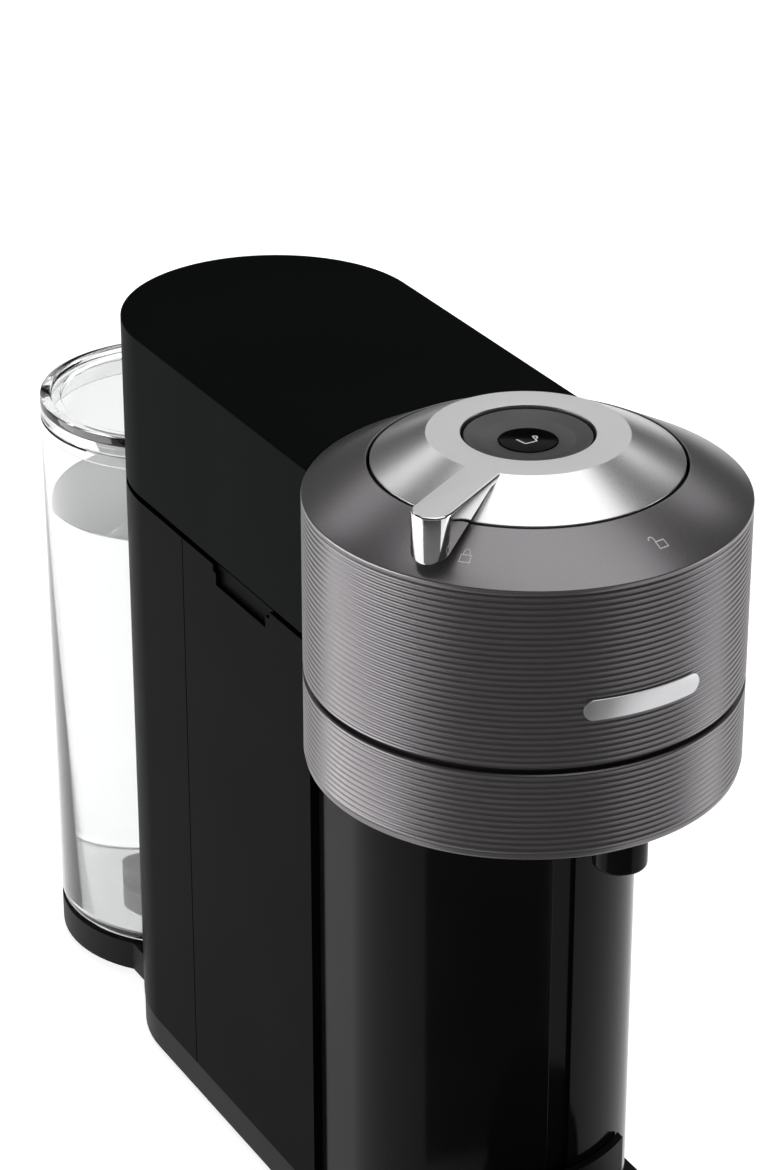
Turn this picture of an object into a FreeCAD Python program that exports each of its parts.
import FreeCAD
import Part
import Sketcher
import math
import os

from FreeCAD import Placement, Rotation, Vector

# Pod coffee machine: a narrow lidded body with a round brewing head in front and a clear water tank behind.
# The frame is in millimetres with +Z up. The origin is on the table, under the middle of the bounding box.
# The front of the machine faces -Y, and the brewing head's axis is vertical.

# Every driving dimension, in millimetres or degrees. Heights end in _z and stand above the table.
DIMENSIONS = {
    "overall_height": 314.0,
    "wall": 2.5,
    "fit_gap": 0.05,
    # brewing head
    "head_y": -91.5,
    "head_radius": 71.0,
    "rim_z": 294.0,
    "seam_top_z": 233.6,
    "seam_low_z": 231.4,
    "band_low_z": 201.0,
    "badge_z": 253.0,
    "spout_low_z": 189.2,
    "collar_radius": 50.4,
    "collar_z": 305.1,
    "rib_pitch": 2.0,
    "rib_depth": 0.5,
    "upper_ribs": 29.0,
    "lower_ribs": 14.0,
    # lever ring and button
    "ring_radius": 49.4,
    "ring_low_z": 303.1,
    "flat_radius": 32.0,
    "bore_radius": 21.2,
    "lever_reach": 70.3,
    "lever_width": 12.8,
    "lever_low_z": 298.3,
    "lever_angle": 57.8,
    "button_radius": 20.3,
    "disc_radius": 9.3,
    # body
    "body_half": 53.2,
    "body_arc_y": 80.5,
    "column_split_y": -44.5,
    "rear_split_y": 48.0,
    "base_top_z": 15.0,
    "base_low_z": 3.0,
    "base_half": 53.0,
    "base_front_y": -161.5,
    "deck_low_z": 226.0,
    "deck_top_z": 229.0,
    "grip_low_y": -16.8,
    "grip_high_y": 24.3,
    "grip_depth": 7.0,
    # lid hinge
    "hinge_y": 119.5,
    "hinge_z": 262.0,
    "pin_radius": 3.0,
    "lid_plate_low_z": 236.0,
    "lid_plate_top_z": 239.0,
    # used capsule container
    "column_half": 50.6,
    "column_arc_y": -68.3,
    "column_low_z": 16.0,
    "column_top_z": 184.0,
    "neck_low_z": 186.0,
    # cup support
    "tray_y": -169.0,
    "tray_radius": 45.5,
    "tray_low_z": 20.0,
    "tray_top_z": 40.0,
    # water tank
    "tank_y": 165.5,
    "tank_radius": 49.0,
    "tank_low_z": 16.0,
    "tank_rim_z": 224.0,
    "tank_top_z": 232.0,
    "tank_nest": 56.0,
    "valve_y": 172.0,
    # drive
    "motor_y": -11.5,
    "motor_top_z": 190.0,
    "well_radius": 38.0,
    "core_radius": 39.5,
    "holder_pulley": 22.0,
    "motor_pulley": 9.0,
    "belt_low_z": 197.0,
    "belt_height": 4.0,
    # power cord inlet
    "inlet_y": 62.0,
    "inlet_z": 34.0,
    "inlet_radius": 3.6,
}

doc = FreeCAD.newDocument("pod_coffee_machine")
sheet = doc.addObject("Spreadsheet::Sheet", "Sheet")
nodes = {}


class Size:
    """A length that carries its number and the spreadsheet expression that it comes from."""

    def __init__(self, value, text):
        self.value = value
        self.text = text

    def combine(self, other, sign, result, swap=False):
        other_text = other.text if isinstance(other, Size) else repr(float(other))
        first, second = (other_text, self.text) if swap else (self.text, other_text)
        return Size(result, f"({first} {sign} {second})")

    def __add__(self, other):
        return self.combine(other, "+", self.value + number(other))

    def __radd__(self, other):
        return self.combine(other, "+", number(other) + self.value, swap=True)

    def __sub__(self, other):
        return self.combine(other, "-", self.value - number(other))

    def __rsub__(self, other):
        return self.combine(other, "-", number(other) - self.value, swap=True)

    def __mul__(self, other):
        return self.combine(other, "*", self.value * number(other))

    def __rmul__(self, other):
        return self.combine(other, "*", number(other) * self.value, swap=True)

    def __truediv__(self, other):
        return self.combine(other, "/", self.value / number(other))

    def __neg__(self):
        return Size(-self.value, f"(0 - {self.text})")


def number(size):
    return size.value if isinstance(size, Size) else float(size)


def fill_sheet():
    """Writes the driving dimensions into the spreadsheet, one aliased cell each."""
    sizes = {}
    for row, (name, value) in enumerate(DIMENSIONS.items(), start=1):
        sheet.set(f"A{row}", name)
        sheet.set(f"B{row}", str(value))
        sheet.setAlias(f"B{row}", name)
    doc.recompute()
    for name in DIMENSIONS:
        sizes[name] = Size(float(sheet.get(name)), f"Sheet.{name}")
    return sizes


S = fill_sheet()


# ---------------------------------------------------------------- helpers


def bind(thing, path, size):
    """Sets a property path to a plain number, or ties it to the sheet."""
    if isinstance(size, Size):
        thing.setExpression(path, size.text)
    elif path.startswith("Placement.Base."):
        thing.setExpression(path, repr(float(size)))
    else:
        setattr(thing, path, float(size))


def place(thing, x, y, z, axis="Z"):
    """Puts a shape at a point, with its own Z along the named axis."""
    turn = {"Z": Rotation(), "X": Rotation(Vector(0, 1, 0), 90), "Y": Rotation(Vector(1, 0, 0), -90)}[axis]
    thing.Placement = Placement(Vector(number(x), number(y), number(z)), turn)
    for letter, size in zip("xyz", (x, y, z)):
        if isinstance(size, Size):
            thing.setExpression(f"Placement.Base.{letter}", size.text)
    return thing


def box(x_low, x_high, y_low, y_high, z_low, z_high):
    """A block between two corners."""
    block = doc.addObject("Part::Box", "Block")
    for path, low, high in (("Length", x_low, x_high), ("Width", y_low, y_high), ("Height", z_low, z_high)):
        bind(block, path, high - low)
    return place(block, x_low, y_low, z_low)


def rod(x, y, z, radius, length, axis="Z"):
    """A cylinder that starts at a point and runs along the named axis."""
    cylinder = doc.addObject("Part::Cylinder", "Rod")
    bind(cylinder, "Radius", radius)
    bind(cylinder, "Height", length)
    return place(cylinder, x, y, z, axis)


def cone(x, y, z, low_radius, high_radius, length, axis="Z"):
    """A cone that starts at a point and runs along the named axis."""
    frustum = doc.addObject("Part::Cone", "Frustum")
    bind(frustum, "Radius1", low_radius)
    bind(frustum, "Radius2", high_radius)
    bind(frustum, "Height", length)
    return place(frustum, x, y, z, axis)


def fuse(*pieces):
    joined = doc.addObject("Part::MultiFuse", "Union")
    joined.Shapes = list(pieces)
    joined.Refine = True
    return joined


def cut(base, *tools):
    """base with every tool taken away."""
    taken = doc.addObject("Part::Cut", "Cut")
    taken.Base = base
    taken.Tool = tools[0] if len(tools) == 1 else fuse(*tools)
    taken.Refine = True
    return taken


def common(first, second):
    shared = doc.addObject("Part::Common", "Common")
    shared.Base = first
    shared.Tool = second
    return shared


def node(label, thing):
    """Names a finished sub-part, which is then written to a file of that name."""
    thing.Label = label
    nodes[label] = thing
    return thing


def plane(body, role):
    return next(f for f in body.Origin.OriginFeatures if f.Role == role)


def outline(sketch, points):
    """A closed outline of straight edges whose every corner is dimensioned from the sketch's origin."""
    corners = [Vector(number(a), number(b), 0) for a, b in points]
    for index, corner in enumerate(corners):
        sketch.addGeometry(Part.LineSegment(corner, corners[(index + 1) % len(corners)]))
    for index in range(len(corners)):
        joint = Sketcher.Constraint("Coincident", index, 2, (index + 1) % len(corners), 1)
        sketch.addConstraint(joint)
    for index, (a, b) in enumerate(points):
        for kind, size in (("DistanceX", a), ("DistanceY", b)):
            made = sketch.addConstraint(Sketcher.Constraint(kind, -1, 1, index, 1, number(size)))
            if isinstance(size, Size):
                sketch.setExpression(f"Constraints[{made}]", size.text)


def new_sketch(body, role, points):
    sketch = body.newObject("Sketcher::SketchObject", "Outline")
    sketch.AttachmentSupport = [(plane(body, role), "")]
    sketch.MapMode = "FlatFace"
    outline(sketch, points)
    return sketch


def turned(x, y, points, ribs=None):
    """A body of revolution about a vertical axis through (x, y), from (radius, height) corners.

    ribs is (radius, lowest height, count): that many small grooves one rib pitch apart round the outside.
    """
    body = doc.addObject("PartDesign::Body", "Turned")
    sketch = new_sketch(body, "XZ_Plane", points)
    spin = body.newObject("PartDesign::Revolution", "Spin")
    spin.Profile = sketch
    spin.ReferenceAxis = (sketch, ["V_Axis"])
    spin.Angle = 360.0
    sketch.Visibility = False
    body.Tip = spin
    if ribs:
        doc.recompute()
        radius, low, count = ribs
        depth, pitch = S["rib_depth"], S["rib_pitch"]
        notch = new_sketch(
            body,
            "XZ_Plane",
            [
                (radius - depth, low + pitch * 0.5),
                (radius + depth, low + pitch * 0.5 - depth * 1.8),
                (radius + depth, low + pitch * 0.5 + depth * 1.8),
            ],
        )
        groove = body.newObject("PartDesign::Groove", "RibGroove")
        groove.Profile = notch
        groove.ReferenceAxis = (notch, ["V_Axis"])
        groove.Angle = 360.0
        body.Tip = groove
        doc.recompute()
        row = body.newObject("PartDesign::LinearPattern", "RibRow")
        row.Originals = [groove]
        row.Direction = (plane(body, "Z_Axis"), [""])
        row.setExpression("Length", (pitch * (count - 1)).text)
        row.setExpression("Occurrences", count.text)
        body.Tip = row
    place(body, x, y, 0)
    return body


def half_rod(y, z, radius, length, turn):
    """Half a vertical cylinder about (0, y): its back half at turn 0, its front half at turn 180."""
    half = rod(0, y, z, radius, length)
    half.Angle = 180
    half.Placement = Placement(Vector(0, number(y), number(z)), Rotation(Vector(0, 0, 1), turn))
    return half


def stadium(half, y_front, y_arc, z_low, z_high):
    """A block with a half-round back: flat front at y_front, back arc centred on y_arc."""
    arc = half_rod(y_arc, z_low, half, z_high - z_low, 0)
    return fuse(box(-half, half, y_front, y_arc, z_low, z_high), arc)


def bow(half, y_arc, y_back, z_low, z_high):
    """A block with a half-round front: front arc centred on y_arc, flat back at y_back."""
    arc = half_rod(y_arc, z_low, half, z_high - z_low, 180)
    return fuse(box(-half, half, y_arc, y_back, z_low, z_high), arc)


def free_shape(label, shape):
    """A sub-part whose shape is computed in code."""
    feature = doc.addObject("Part::Feature", "Shape")
    feature.Shape = shape
    return node(label, feature)


def hose_path(points):
    """Straight runs through the points, joined by tangent arcs as large as the runs allow."""
    corners = [Vector(*p) for p in points]
    edges = []
    start = corners[0]
    for before, corner, after in zip(corners, corners[1:], corners[2:]):
        into, out = corner - before, after - corner
        half_turn = into.getAngle(out) / 2
        reach = 0.45 * min(into.Length, out.Length)
        into.normalize()
        out.normalize()
        first, last = corner - into * reach, corner + out * reach
        radius = reach / math.tan(half_turn)
        towards = (out - into).normalize()
        middle = corner + towards * (radius / math.cos(half_turn) - radius)
        edges.append(Part.LineSegment(start, first).toShape())
        edges.append(Part.Arc(first, middle, last).toShape())
        start = last
    edges.append(Part.LineSegment(start, corners[-1]).toShape())
    return Part.Wire(edges)


def hose(label, points, radius, bore):
    """A tube with a hollow bore along straight runs and arcs."""
    path = hose_path(points)
    direction = Vector(*points[1]) - Vector(*points[0])

    def swept(size):
        ring = Part.Wire([Part.makeCircle(size, Vector(*points[0]), direction)])
        return path.makePipeShell([ring], True, False)

    return free_shape(label, swept(radius).cut(swept(bore)))


def coil(radius, wire, pitch, turns, base):
    """A vertical coil spring whose first turn starts at the height of base."""
    helix = Part.makeHelix(pitch, pitch * turns, radius)
    ring = Part.Wire([Part.makeCircle(wire, Vector(radius, 0, 0), Vector(0, 1, 0))])
    spring = Part.Wire(helix.Edges).makePipeShell([ring], True, True)
    spring.Placement = Placement(base, Rotation())
    return spring


# ---------------------------------------------------------------- brewing head


def make_head_shell():
    """Ribbed grey cap of the head: a cylinder with a conical shoulder, open in the middle and below."""
    wall = S["wall"]
    inner = S["head_radius"] - wall
    drop = wall * 1.14
    shell = turned(
        0,
        S["head_y"],
        [
            (S["head_radius"], S["seam_top_z"]),
            (S["head_radius"], S["rim_z"]),
            (S["collar_radius"], S["collar_z"]),
            (S["collar_radius"], S["collar_z"] - drop),
            (inner, S["rim_z"] + wall * 0.5388 - drop),
            (inner, S["seam_top_z"]),
        ],
        ribs=(S["head_radius"], S["seam_top_z"] + 0.9, S["upper_ribs"]),
    )
    half = S["body_half"] - wall
    window = box(-half, half, S["head_y"] + 40, S["head_y"] + 80, S["seam_top_z"] - 1, S["rim_z"] - 16)
    node("head_shell", cut(shell, window))


def make_lower_band():
    """Ribbed grey band under the head's split line, open at the back where it meets the body."""
    inner = S["head_radius"] - S["wall"]
    edge = 2.0
    band = turned(
        0,
        S["head_y"],
        [
            (inner, S["band_low_z"]),
            (S["head_radius"] - edge, S["band_low_z"]),
            (S["head_radius"] - edge * 0.3, S["band_low_z"] + edge * 0.3),
            (S["head_radius"], S["band_low_z"] + edge),
            (S["head_radius"], S["seam_low_z"]),
            (inner, S["seam_low_z"]),
        ],
        ribs=(S["head_radius"], S["band_low_z"] + edge, S["lower_ribs"]),
    )
    gap = S["body_half"] + 0.2
    rear = box(-gap, gap, S["head_y"], S["head_y"] + 80, S["band_low_z"] - 5, S["seam_low_z"] + 5)
    node("lower_band", cut(band, rear))


def make_brew_housing():
    """Black housing inside the lower band: floor, well for the holder, and neck over the container."""
    outer = S["head_radius"] - S["wall"]
    low, deck, lip = S["band_low_z"] + 1.5, S["deck_top_z"], S["seam_top_z"] + 1.0
    floor = 3.0
    bowl = turned(
        0,
        S["head_y"],
        [
            (35.0, low),
            (outer, low),
            (outer, lip),
            (outer - 1.8, lip),
            (outer - 1.8, low + floor),
            (S["well_radius"] + 3, low + floor),
            (S["well_radius"] + 3, deck + 2),
            (S["well_radius"], deck + 2),
            (S["well_radius"], low + floor),
            (35.0, low + floor),
        ],
    )
    rim = turned(
        0,
        S["head_y"],
        [
            (S["well_radius"] + 2, deck - 2),
            (outer - 1, deck - 2),
            (outer - 1, deck),
            (S["well_radius"] + 2, deck),
        ],
    )
    back = S["column_split_y"] - 0.3
    neck = cut(
        bow(S["column_half"], S["column_arc_y"], back, S["neck_low_z"], low + 1),
        bow(S["column_half"] - 2.5, S["column_arc_y"], back + 5, S["neck_low_z"] - 1, low),
        rod(0, S["head_y"], low - 0.1, 35.0, 10),
    )
    rear = box(-80, 80, back, S["head_y"] + 90, S["neck_low_z"] - 5, lip + 5)
    y = S["head_y"] - 60
    chute = fuse(box(-3, 3, y, y + 15, low + floor - 2, low + floor + 1), rod(0, y, low - 1, 2.5, 6))
    node("brew_housing", cut(fuse(bowl, rim, neck), rear, chute))


def make_coffee_outlet():
    """Glossy spout under the front of the head: a rounded shroud with the nozzle inside it."""
    y, low, top = S["head_y"] - 60, S["spout_low_z"], S["band_low_z"] + 1.5
    shroud = common(rod(0, y + 1.5, low, 11.5, top - low), box(-9.0, 9.0, y - 8, y + 11.5, low, top))
    nozzle = cut(rod(0, y, low + 2, 3.6, top - low - 2), rod(0, y, low - 1, 2.5, 30))
    node("coffee_outlet", fuse(cut(shroud, rod(0, y, low - 1, 6.2, 11.6), rod(0, y, low, 2.5, 20)), nozzle))


def make_capsule_holder():
    """Spinning cup that grips the capsule, its belt pulley and the ring bearing that carries it."""
    y, top = S["head_y"], S["deck_top_z"]
    neck, step = 16.0, 30.0
    holder = turned(
        0,
        y,
        [
            (0, 193.0),
            (neck, 193.0),
            (neck, 205.0),
            (step, 205.0),
            (step, 214.0),
            (step + 4, 214.0),
            (step + 4, top),
            (step + 1.5, top),
            (step + 0.5, 217.0),
            (27.5, 210.5),
            (22.0, 208.0),
            (4.0, 208.0),
            (2.0, 210.0),
            (0, 210.0),
        ],
    )
    node("capsule_holder", holder)
    node("holder_pulley", pulley(y, S["holder_pulley"], neck))
    bore = step + S["fit_gap"]
    node("holder_bearing", tube_node(y, bore, S["well_radius"], 206.5, 213.5))


def tube_node(y, inner, outer, z_low, z_high):
    """A plain ring about a vertical axis at y."""
    return turned(0, y, [(inner, z_low), (outer, z_low), (outer, z_high), (inner, z_high)])


def pulley(y, rim, hub):
    """A flanged flat-belt pulley about a vertical axis at y."""
    low = S["belt_low_z"] - 0.5
    high = S["belt_low_z"] + S["belt_height"] + 0.5
    return turned(
        0,
        y,
        [
            (hub, low - 1),
            (rim + 1.5, low - 1),
            (rim + 1.5, low),
            (rim, low),
            (rim, high),
            (rim + 1.5, high),
            (rim + 1.5, high + 1),
            (hub, high + 1),
        ],
    )


def make_drive():
    """Motor behind the holder, its bracket, shaft and pulley, and the flat belt to the holder."""
    y, top, shaft = S["motor_y"], S["motor_top_z"], S["pin_radius"]
    places = (-25.5, 25.5)
    tabs = cut(box(-29, 29, y - 7, y + 7, top - 3, top), rod(0, y, top - 10, 21, 20))
    bores = [rod(x, y, top - 10, 1.6, 20) for x in places]
    can = fuse(rod(0, y, 122, 22, top - 122), tabs)
    node("drive_motor", cut(can, rod(0, y, 110, shaft + S["fit_gap"], 100), *bores))
    inner, front = S["body_half"] - S["wall"], S["column_split_y"] + 5.5
    plate = fuse(
        box(-inner, inner, front, 14, top, top + 3),
        box(-inner, 3 - inner, front, 14, top - 18, top),
        box(inner - 3, inner, front, 14, top - 18, top),
    )
    holes = [rod(x, y, top - 10, 1.6, 20) for x in places]
    node("motor_bracket", cut(plate, rod(0, y, top - 10, 8, 30), *holes))
    screws = [rod(x, y, top - 6, 1.6, 9) for x in places]
    heads = [rod(x, y, top + 3, 3.0, 2.0) for x in places]
    nuts = [rod(x, y, top - 5.5, 2.8, 2.5) for x in places]
    node("motor_screws", fuse(*screws, *heads, *nuts))
    node("motor_shaft", rod(0, y, 116, shaft, 88))
    node("motor_pulley", pulley(y, S["motor_pulley"], shaft))
    free_shape("drive_belt", belt_shape())


def belt_loop(big, small, span):
    """Outline of a belt round a big pulley at the origin and a small one at distance span along +Y."""
    lean = math.asin((big - small) / span)
    side = Vector(math.cos(lean), math.sin(lean), 0)
    mirrored = Vector(-side.x, side.y, 0)
    far = Vector(0, span, 0)
    near_right, near_left = side * big, mirrored * big
    far_right, far_left = far + side * small, far + mirrored * small
    return Part.Wire(
        [
            Part.LineSegment(near_right, far_right).toShape(),
            Part.Arc(far_right, far + Vector(0, small, 0), far_left).toShape(),
            Part.LineSegment(far_left, near_left).toShape(),
            Part.Arc(near_left, Vector(0, -big, 0), near_right).toShape(),
        ]
    )


def belt_shape():
    """Flat belt that runs close round both pulleys."""
    head_y, span = number(S["head_y"]), number(S["motor_y"] - S["head_y"])
    clear, thick = 0.1, 1.2
    big, small = number(S["holder_pulley"]) + clear, number(S["motor_pulley"]) + clear
    outer, inner = belt_loop(big + thick, small + thick, span), belt_loop(big, small, span)
    belt = Part.Face(outer).cut(Part.Face(inner)).extrude(Vector(0, 0, number(S["belt_height"])))
    belt.translate(Vector(0, head_y, number(S["belt_low_z"])))
    return belt


# ---------------------------------------------------------------- lever ring, button and lid core


def make_lever():
    """Chrome locking ring with its radial lever, and the drum that it turns inside the head."""
    y, top, skin = S["head_y"], S["overall_height"], 2.2
    ring = turned(
        0,
        y,
        [
            (S["ring_radius"], S["ring_low_z"]),
            (S["ring_radius"], S["collar_z"]),
            (S["flat_radius"], top),
            (S["bore_radius"], top),
            (S["bore_radius"], top - 6),
            (S["bore_radius"] + skin, top - 6),
            (S["bore_radius"] + skin, top - skin),
            (S["flat_radius"] - 0.8, top - skin),
            (S["ring_radius"] - 2.6, S["ring_low_z"]),
        ],
    )
    half = S["lever_width"] / 2
    tip = half - S["lever_reach"]
    arm = fuse(box(-half, half, tip, -27, top - 24, top), rod(0, tip, top - 24, half, 24))
    # the lever's underside falls in a straight line from the ring to the tip, just clear of the shoulder
    relief = turned(
        0,
        0,
        [
            (0, S["ring_low_z"] - 20),
            (90.0, S["ring_low_z"] - 20),
            (90.0, S["lever_low_z"] - 8.4),
            (69.0, S["lever_low_z"]),
            (49.8, S["lever_low_z"] + 7.7),
            (30.0, top - skin + 0.3),
            (0, top - skin + 0.3),
        ],
    )
    lever = cut(arm, relief)
    lever.Placement = Placement(Vector(0, number(y), 0), Rotation(Vector(0, 0, 1), -number(S["lever_angle"])))
    lever.setExpression("Placement.Base.y", y.text)
    node("lever_ring", fuse(ring, lever))
    low = S["lid_plate_top_z"] + 1
    seat = S["ring_radius"] - 0.4
    drum = turned(
        0,
        y,
        [
            (S["core_radius"] + S["fit_gap"], low),
            (50.0, low),
            (50.0, low + 2.5),
            (44.5, low + 2.5),
            (44.5, S["ring_low_z"] - 2.5),
            (seat, S["ring_low_z"] - 2.5),
            (seat, S["ring_low_z"]),
            (42.0, S["ring_low_z"]),
            (42.0, low + 6),
            (S["core_radius"] + S["fit_gap"], low + 6),
        ],
    )
    slot = doc.addObject("Part::Cylinder", "Sector")
    slot.Radius = 60
    slot.Angle = 97
    bind(slot, "Height", 13)
    slot.Placement = Placement(Vector(0, number(y), number(low) + 9.5), Rotation(Vector(0, 0, 1), 4))
    slot.setExpression("Placement.Base.y", y.text)
    slot.setExpression("Placement.Base.z", (low + 9.5).text)
    node("lock_drum", cut(drum, slot))


def make_button():
    """Dished button cap with its black window, return spring and the switch board below."""
    y, top = S["head_y"], S["overall_height"]
    cap = turned(
        0,
        y,
        [
            (0, 288.5),
            (5.5, 288.5),
            (5.5, top - 6.0),
            (S["button_radius"] - 2, top - 6.0),
            (S["button_radius"] - 2, top - 8.0),
            (S["button_radius"], top - 8.0),
            (S["button_radius"], top - 1.4),
            (S["button_radius"] - 0.8, top - 0.8),
            (S["button_radius"] - 1.6, top - 1.0),
            (14.0, top - 2.2),
            (S["disc_radius"], top - 2.8),
            (S["disc_radius"], top - 3.8),
            (0, top - 3.8),
        ],
    )
    node("button_cap", cap)
    node("button_window", rod(0, y, top - 3.8, S["disc_radius"], 1.2))
    free_shape("button_spring", coil(8.0, 0.6, 2.95, 3.6, Vector(0, number(y), 296.7)))
    board = box(-22, 22, y - 14, y + 14, 280, 281.6)
    switch = box(-3.5, 3.5, y - 3.5, y + 3.5, 281.6, 286.1)
    posts = [rod(x, y + off, 270, 2.0, 10) for x in (-18, 18) for off in (-10, 10)]
    node("button_board", fuse(board, switch, *posts))


def make_head_core():
    """Fixed tower inside the lock drum: carries the button, the switch board and the clamp bearing."""
    y, out = S["head_y"], S["core_radius"]
    core = turned(
        0,
        y,
        [
            (36.0, S["lid_plate_top_z"]),
            (out, S["lid_plate_top_z"]),
            (out, 296.0),
            (6.0, 296.0),
            (6.0, 292.5),
            (36.0, 292.5),
            (36.0, 270.0),
            (12.0, 270.0),
            (12.0, 253.0),
            (16.0, 253.0),
            (16.0, 266.0),
            (36.0, 266.0),
        ],
    )
    node("head_core", cut(core, rod(0, y + 20, 256, 5.0, 40, "Y")))
    shaft = 4.0
    node("clamp_bearing", tube_node(y, shaft + S["fit_gap"], 12.0, 254.0, 261.0))
    clamp = turned(
        0,
        y,
        [
            (1.6, 231.5),
            (12.0, 231.5),
            (12.0, 233.0),
            (29.0, 233.0),
            (29.0, 230.5),
            (33.5, 230.5),
            (33.5, 242.0),
            (9.0, 242.0),
            (shaft, 246.0),
            (shaft, 266.0),
            (1.6, 266.0),
        ],
    )
    node("capsule_clamp", clamp)
    node("injector_needle", fuse(rod(0, y, 226, 1.6, 40), cone(0, y, 221.5, 0.3, 1.6, 4.5)))


# ---------------------------------------------------------------- lid


def make_top_cover():
    """Black cover behind the head: flat top, straight sides, half-round back, and screw posts inside."""
    half, wall = S["body_half"], S["wall"]
    low, high = S["seam_top_z"], S["rim_z"]
    outer = stadium(half, S["head_y"], S["body_arc_y"], low, high)
    inner = stadium(half - wall, S["head_y"] - 5, S["body_arc_y"], low - 1, high - wall)
    head = rod(0, S["head_y"], low - 1, S["head_radius"] + 0.1, 70)
    plate_top = S["lid_plate_top_z"]
    posts = [rod(x, y, plate_top, 4.0, high - wall - plate_top) for x, y in LID_SCREW_PLACES]
    bores = [rod(x, y, plate_top - 1, 1.5, 13) for x, y in LID_SCREW_PLACES]
    node("top_cover", cut(fuse(cut(outer, inner, head), *posts), *bores))


LID_SCREW_PLACES = ((-40.0, 12.0), (40.0, 12.0), (-34.0, 64.0), (34.0, 64.0))


def make_lid_frame():
    """Inner plate of the lid, which holds the head core and ends in two hinge ears."""
    low, top, half = S["lid_plate_low_z"], S["lid_plate_top_z"], S["body_half"] - S["wall"]
    plate = fuse(
        box(-half, half, S["head_y"], 70, low, top),
        box(-44, 44, 69, S["hinge_y"] - 35.5, low, top),
        rod(0, S["head_y"], low, S["head_radius"] - S["wall"], top - low),
    )
    ears = [hinge_ear(x) for x in (-15.0, 11.0)]
    ribs = [box(x, x + 3, -17, 62, top, top + 14) for x in (-30.0, 27.0)]
    bore = rod(0, S["head_y"], low - 5, 36.0, 20)
    holes = [rod(x, y, low - 5, 1.5, 20) for x, y in LID_SCREW_PLACES]
    node("lid_frame", cut(fuse(plate, *ears, *ribs), bore, *holes))
    heads = [rod(x, y, low - 2, 3.2, 2) for x, y in LID_SCREW_PLACES]
    shanks = [rod(x, y, low - 1, 1.5, 13) for x, y in LID_SCREW_PLACES]
    node("lid_screws", fuse(*heads, *shanks))
    node("chamber_seal", tube_node(S["head_y"], 38.6, 40.6, S["deck_top_z"] + 2.5, low))


def hinge_ear(x):
    """One ear of the lid frame, from the plate up to the hinge pin."""
    y, z, low = S["hinge_y"], S["hinge_z"], S["lid_plate_low_z"]
    arm = box(x, x + 4, y - 40, y - 5, low, low + 12)
    neck = box(x, x + 4, y - 14, y + 5.5, low + 5, z)
    eye = rod(x, y, z, 6.5, 4, "X")
    return cut(fuse(arm, neck, eye), rod(x - 1, y, z, S["pin_radius"] + S["fit_gap"], 6, "X"))


def make_front_badge():
    """Plain pill-shaped badge that lies on the ribs at the front of the head."""
    y, z, end = S["head_y"], S["badge_z"], 17.5
    pill = fuse(
        box(-end, end, y - 80, y - 60, z - 3.6, z + 3.6),
        rod(-end, y - 80, z, 3.6, 20, "Y"),
        rod(end, y - 80, z, 3.6, 20, "Y"),
    )
    skin = cut(rod(0, y, z - 10, S["head_radius"] + 0.6, 20), rod(0, y, z - 11, S["head_radius"], 22))
    node("front_badge", common(pill, skin))


# ---------------------------------------------------------------- lower body

FOOT_PLACES = ((-32.0, -165.0), (32.0, -165.0), (-28.0, 170.0), (28.0, 170.0))
BASE_SCREW_PLACES = ((-38.0, -36.0), (38.0, -36.0), (-38.0, 38.0), (38.0, 38.0))


def base_slab(inset, z_low, z_high):
    """The foot plate's plan, made smaller all round by inset."""
    half, back = S["base_half"] - inset, S["tank_y"]
    neck = 38.0 - inset
    return fuse(
        box(-half, half, S["base_front_y"], S["body_arc_y"], z_low, z_high),
        rod(0, S["base_front_y"], z_low, half, z_high - z_low),
        rod(0, S["body_arc_y"], z_low, half, z_high - z_low),
        box(-neck, neck, S["body_arc_y"], back, z_low, z_high),
        rod(0, back, z_low, S["tank_radius"] - inset, z_high - z_low),
    )


def make_base():
    """Long foot plate under the column, the cup support and the tank, with its feet and screws."""
    low, top = S["base_low_z"], S["base_top_z"]
    shell = cut(base_slab(0, low, top), base_slab(3, low - 1, top - 3))
    bosses = [rod(x, y, low, 11, 10) for x, y in FOOT_PLACES]
    posts = [rod(x, y, low, 6, 10) for x, y in BASE_SCREW_PLACES]
    holes = [rod(x, y, low - 1, 1.5, 20) for x, y in BASE_SCREW_PLACES]
    sinks = [rod(x, y, low - 1, 4.0, 4) for x, y in BASE_SCREW_PLACES]
    ports = [rod(0, S["valve_y"], low, 9.0, 20), rod(14, 96, low, 4.0, 20)]
    node("base_plate", cut(fuse(shell, *bosses, *posts), *holes, *sinks, *ports))
    cups = [rod(x, y, 1, 8.5, 2) for x, y in FOOT_PLACES]
    edges = [cone(x, y, 0, 7.5, 8.5, 1) for x, y in FOOT_PLACES]
    node("rubber_feet", fuse(*cups, *edges))
    heads = [rod(x, y, low + 0.5, 3.5, 2.5) for x, y in BASE_SCREW_PLACES]
    shanks = [rod(x, y, low + 2, 1.5, 21) for x, y in BASE_SCREW_PLACES]
    node("base_screws", fuse(*heads, *shanks))


def side_shell():
    """The left side shell: a flat wall with a front lip and a finger grip under the split line."""
    half, wall, low, top = S["body_half"], S["wall"], S["base_top_z"], S["seam_low_z"]
    front = S["column_split_y"]
    skin = box(-half, wall - half, front, S["rear_split_y"] - 0.2, low, top)
    lip = box(-half, 9 - half, front, front + wall, low, S["neck_low_z"])
    floor = 1.7 - half
    grip = fuse(
        box(-60, floor, S["grip_low_y"] + 3, S["grip_high_y"] - 2, top - S["grip_depth"], top + 1),
        box(-60, floor, S["grip_low_y"], S["grip_high_y"], top - 2.6, top + 1),
    )
    return cut(fuse(skin, lip), grip)


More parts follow.
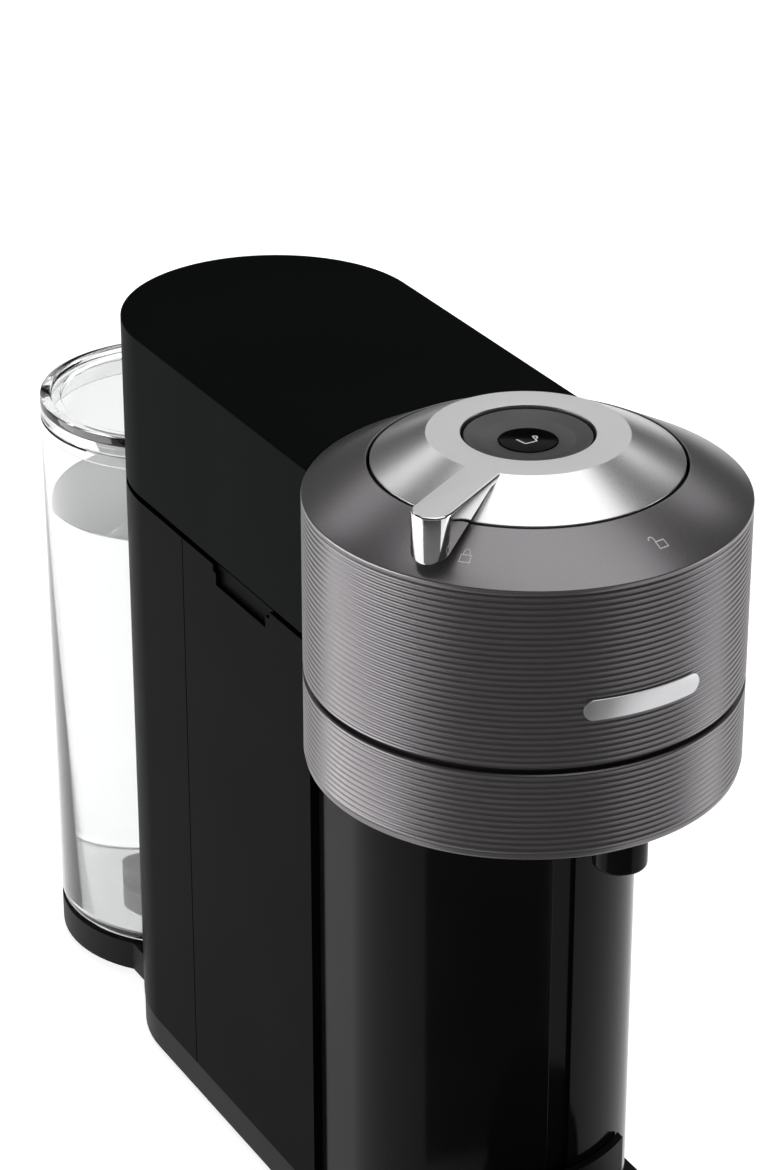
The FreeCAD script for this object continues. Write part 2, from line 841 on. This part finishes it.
def make_body_shells():
    """Side shells, rear cover, and the deck that closes the body under the lid."""
    half, wall, low, top = S["body_half"], S["wall"], S["base_top_z"], S["seam_low_z"]
    front, split, arc = S["column_split_y"], S["rear_split_y"], S["body_arc_y"]
    node("body_shell_left", side_shell())
    mirrored = doc.addObject("Part::Mirroring", "Mirrored")
    mirrored.Source = side_shell()
    mirrored.Normal = Vector(1, 0, 0)
    node("body_shell_right", mirrored)
    outer = stadium(half, split + 0.2, arc, low, top)
    inner = stadium(half - wall, split - 5, arc, low - 1, top + 1)
    hole = rod(40, S["inlet_y"], S["inlet_z"], 7.0, 30, "X")
    node("rear_cover", cut(outer, inner, hole))
    inside = half - wall
    deck = stadium(inside, front + 0.3, arc, S["deck_low_z"], S["deck_top_z"])
    rails = [
        box(x, x + 1.8, front + 0.3, 76, S["deck_top_z"], S["seam_top_z"] + 1)
        for x in (0.5 - inside, inside - 2.3)
    ]
    port = box(-7, 7, 89, 104, S["deck_low_z"] - 1, S["deck_top_z"] + 1)
    node("body_deck", cut(fuse(deck, *rails), port))


def make_hinge():
    """Fixed hinge bracket on the deck, and the pin that the lid turns on."""
    y, z, deck = S["hinge_y"], S["hinge_z"], S["deck_top_z"]
    arms = []
    for x in (-20.5, 17.0):
        upright = box(x, x + 3.5, y - 30, y - 17, deck, z + 4)
        reach = box(x, x + 3.5, y - 30, y, z - 5, z + 4)
        arms.append(fuse(upright, reach, rod(x, y, z, 5.0, 3.5, "X")))
    foot = box(-20.5, 20.5, y - 34, y - 31, deck, deck + 3)
    pads = [box(x, x + 8.5, y - 34, y - 17, deck, deck + 3) for x in (-20.5, 12.0)]
    node("hinge_bracket", cut(fuse(foot, *pads, *arms), rod(-25, y, z, S["pin_radius"], 50, "X")))
    node("hinge_pin", rod(-22, y, z, S["pin_radius"], 44, "X"))


def make_inner_frame():
    """Inner bulkhead behind the container, with its screw bosses and the upright for pump and heater."""
    low, front = S["base_top_z"], S["column_split_y"] + S["wall"]
    side = S["body_half"] - S["wall"]
    wall = box(-side, side, front, front + 2.5, low, S["neck_low_z"])
    bosses = [rod(x, y, low, 5.5, 12) for x, y in BASE_SCREW_PLACES]
    floor = box(-46, 46, front, 45, low, low + 2.5)
    upright = box(-46, 46, 26, 29, low + 2.5, 156)
    holes = [rod(x, y, low - 1, 1.5, 12) for x, y in BASE_SCREW_PLACES]
    node("inner_frame", cut(fuse(wall, floor, upright, *bosses), *holes))


# ---------------------------------------------------------------- container and cup support


def make_container():
    """Used capsule container that forms the lower front column, with its glossy front skin."""
    half, arc, low, top = S["column_half"], S["column_arc_y"], S["column_low_z"], S["column_top_z"]
    back, skin, wall = S["column_split_y"] - 1.0, 2.6, 1.8
    inside = half - skin
    channel = box(-4, 4, arc - half - 5, arc - half + 1.7, low + 5, top - 8)
    skin_shape = cut(bow(half, arc, back, low, top), bow(inside, arc, back + 5, low - 1, top + 1), channel)
    node("container_front", skin_shape)
    hollow = bow(inside - wall, arc, back - wall, low + 3 + wall, top + 5)
    node("capsule_container", cut(bow(inside, arc, back, low + 3, top - 1), hollow))


def make_cup_support():
    """Height-adjustable cup support that hooks on the column, with its drip tray and grid."""
    y, radius, low, top = S["tray_y"], S["tray_radius"], S["tray_low_z"], S["tray_top_z"]
    arc, half = S["column_arc_y"], S["column_half"]
    front = arc - half
    hollow_radius = radius - 3.5

    def column(gap, z_low, z_high):
        return rod(0, arc, z_low, half + gap, z_high - z_low)

    saddle = common(
        cut(column(3.2, low, top + 12), column(0.4, low - 1, top + 20)),
        box(-30, 30, front - 5, arc - 40, low, top + 12),
    )
    key = box(-3.6, 3.6, front - 2.5, front + 1.2, low + 3, top + 9)
    bridge = cut(box(-24, 24, y + 34, front + 8, low, top - 2), column(0.4, low - 1, top + 20))
    ring = cut(fuse(rod(0, y, low, radius, top - low), bridge, saddle), rod(0, y, low - 1, hollow_radius, 60))
    ledge = cut(rod(0, y, low, radius - 2, 1.5), rod(0, y, low - 1, radius - 6, 4))
    node("cup_support", fuse(ring, key, ledge))
    pan = hollow_radius - 0.4
    node("drip_tray", cut(rod(0, y, low + 1.8, pan, 15.7), rod(0, y, low + 3.6, pan - 1.6, 20)))
    slots = [grid_slot(step, y, pan) for step in range(-5, 6)]
    node("drip_grid", cut(rod(0, y, top - 2.2, pan, 2.2), *slots))


def grid_slot(step, y, reach):
    """One slot of the drip grid, shorter towards the rim."""
    x = step * 6.4
    length = math.sqrt((number(reach) - 5.0) ** 2 - x * x)
    return box(x - 1.6, x + 1.6, y - length, y + length, S["tray_low_z"] + 10, S["tray_top_z"] + 5)


# ---------------------------------------------------------------- water tank


def nested(radius, nest, z_low, z_high):
    """A cylinder about the tank's axis with a hollow front that fits round the body's back."""
    return cut(
        rod(0, S["tank_y"], z_low, radius, z_high - z_low),
        rod(0, S["body_arc_y"], z_low - 1, nest, z_high - z_low + 2),
    )


def make_tank():
    """Clear water tank that stands on the foot plate behind the body, and its lid."""
    radius, nest, low = S["tank_radius"], S["tank_nest"], S["tank_low_z"]
    rim, top, wall = S["tank_rim_z"], S["tank_top_z"], 2.0
    bore = rod(0, S["valve_y"], low - 1, 6.0, 10)
    shell = cut(
        nested(radius, nest, low, rim),
        nested(radius - wall, nest + wall, low + wall, rim + 5),
        bore,
    )
    node("tank_shell", shell)
    inside = wall + 0.4
    rib = inside + 1.5
    plug = cut(
        nested(radius - inside, nest + inside, rim - 5, rim + 1),
        nested(radius - rib, nest + rib, rim - 6, rim + 4),
    )
    cap = cut(
        nested(radius, nest, rim + 0.4, top),
        nested(radius - rib, nest + rib, rim, rim + 3.2),
        nested(44.5, nest + 4.5, top - 0.9, top + 1),
        nested(41.0, nest + 8, top - 2.2, top + 1),
    )
    node("tank_lid", fuse(cap, plug))


def make_valve():
    """Spring-loaded outlet valve in the tank's floor, its guide, and the seat on the foot plate."""
    y, low, floor, stem = S["valve_y"], S["tank_low_z"], S["tank_low_z"] + 2, 3.0
    valve = turned(
        0,
        y,
        [
            (0, low + 0.4),
            (2.0, low + 0.4),
            (5.5, low + 1.2),
            (5.5, floor + 0.4),
            (9.0, floor + 0.4),
            (9.0, floor + 2.2),
            (stem, floor + 2.8),
            (stem, floor + 14),
            (0, floor + 14),
        ],
    )
    node("tank_valve", valve)
    guide = turned(
        0,
        y,
        [
            (stem + S["fit_gap"], floor + 8),
            (12.0, floor + 8),
            (12.0, floor),
            (14.0, floor),
            (14.0, floor + 10),
            (stem + S["fit_gap"], floor + 10),
        ],
    )
    windows = [
        box(-20, 20, y - 3, y + 3, floor + 2, floor + 6),
        box(-3, 3, y - 20, y + 20, floor + 2, floor + 6),
    ]
    node("valve_guide", cut(guide, *windows))
    free_shape("valve_spring", coil(5.0, 0.4, 1.9, 2, Vector(0, number(y), number(floor) + 3.5)))
    base = S["base_top_z"]
    seat = turned(
        0,
        y,
        [(2.6, base - 2.8), (9.0, base - 2.8), (9.0, base), (13.0, base), (13.0, base + 0.6), (2.6, base + 0.6)],
    )
    node("tank_seat", seat)


# ---------------------------------------------------------------- water and power inside the body


def make_inner_works():
    """Pump, heater, flow meter, control board and the gland for the power cord."""
    pump = fuse(
        box(-40, -6, 32, 66, 34, 78),
        rod(-23, 49, 78, 9, 22),
        rod(-23, 49, 100, 3.2, 9),
        rod(-23, 66, 44, 3.2, 8, "Y"),
    )
    node("water_pump", pump)
    legs = [box(x, x + 5, 46, 66.5, S["base_top_z"], 28) for x in (-42, -9)]
    node("pump_mounts", fuse(box(-42, -4, 31.5, 66.5, 28, 34), *legs))
    heater = fuse(
        box(6, 42, 34, 72, 130, 205),
        rod(24, 53, 120, 3.2, 10),
        rod(24, 53, 205, 3.2, 8),
        box(12, 36, 29, 34, 132, 154),
        *[box(3.5, 44.5, 37 + 9 * step, 40 + 9 * step, 136, 199) for step in range(4)],
    )
    node("heater_block", heater)
    meter = fuse(
        rod(14, 96, 24, 13, 16),
        rod(14, 96, 20, 3.2, 4),
        rod(-6, 96, 32, 3.2, 12, "X"),
        box(2, 6, 92, 100, S["base_top_z"], 25),
        box(22, 26, 92, 100, S["base_top_z"], 25),
    )
    node("flow_meter", meter)
    side = S["body_half"] - S["wall"]
    board = fuse(
        box(-50.1, -48.5, -34, 22, 30, 130),
        box(-48.5, -38, -28, -8, 40, 70),
        box(-48.5, -42, -2, 14, 52, 74),
        rod(-48.5, 4, 96, 6, 16, "X"),
        box(-48.5, -45, -28, -10, 92, 112),
        *[rod(-side, y, z, 2.5, 2, "X") for y in (-30, 18) for z in (34, 126)],
    )
    node("control_board", board)
    y, z, bore = S["inlet_y"], S["inlet_z"], S["inlet_radius"]
    outside = S["body_half"]
    gland = fuse(
        rod(outside - 7, y, z, 7.0, 9.5, "X"),
        rod(outside, y, z, 9.0, 2.5, "X"),
        rod(outside - 7, y, z, 9.0, 3.5, "X"),
    )
    node("cord_gland", cut(gland, rod(outside - 9, y, z, bore, 20, "X")))


def make_hoses():
    """Low-pressure and high-pressure hoses, each from fitting to fitting along its own route."""
    valve_y, spigot = number(S["valve_y"]), number(S["base_top_z"]) - 2.8
    hose("tank_hose", [(0, valve_y, spigot), (0, valve_y, 7.5), (14, 96, 7.5), (14, 96, 20)], 3.0, 1.8)
    hose("meter_hose", [(-6, 96, 32), (-16, 96, 32), (-23, 92, 44), (-23, 74, 44)], 3.0, 1.8)
    hose("pressure_hose", [(-23, 49, 109), (-23, 49, 121), (2, 62, 121), (24, 53, 108), (24, 53, 120)], 3.0, 1.6)
    head_y = number(S["head_y"])
    lid_route = [
        (24, 53, 213),
        (24, 53, 220.5),
        (0, 97, 220.5),
        (0, 97, 256),
        (0, head_y + 39.5, 256),
    ]
    hose("lid_hose", lid_route, 3.0, 1.6)


def check_and_write():
    """Stops on any failed feature or bad shape, then writes one STEP file per sub-part."""
    doc.recompute()
    broken = [thing.Name for thing in doc.Objects if {"Invalid", "Error"} & set(thing.State)]
    if broken:
        raise SystemExit(f"features failed: {broken}")
    os.makedirs("parts", exist_ok=True)
    for label, thing in nodes.items():
        shape = thing.Shape
        if shape.isNull() or not shape.isValid() or not shape.Solids:
            raise SystemExit(f"bad shape: {label}")
        shape.exportStep(os.path.join("parts", label + ".step"))
        print(f"{label}: {len(shape.Solids)} solid(s), {shape.Volume / 1000:.1f} cm3")


for make in (
    make_head_shell,
    make_lower_band,
    make_brew_housing,
    make_coffee_outlet,
    make_capsule_holder,
    make_drive,
    make_lever,
    make_button,
    make_head_core,
    make_top_cover,
    make_lid_frame,
    make_front_badge,
    make_base,
    make_body_shells,
    make_hinge,
    make_inner_frame,
    make_container,
    make_cup_support,
    make_tank,
    make_valve,
    make_inner_works,
    make_hoses,
):
    make()
check_and_write()
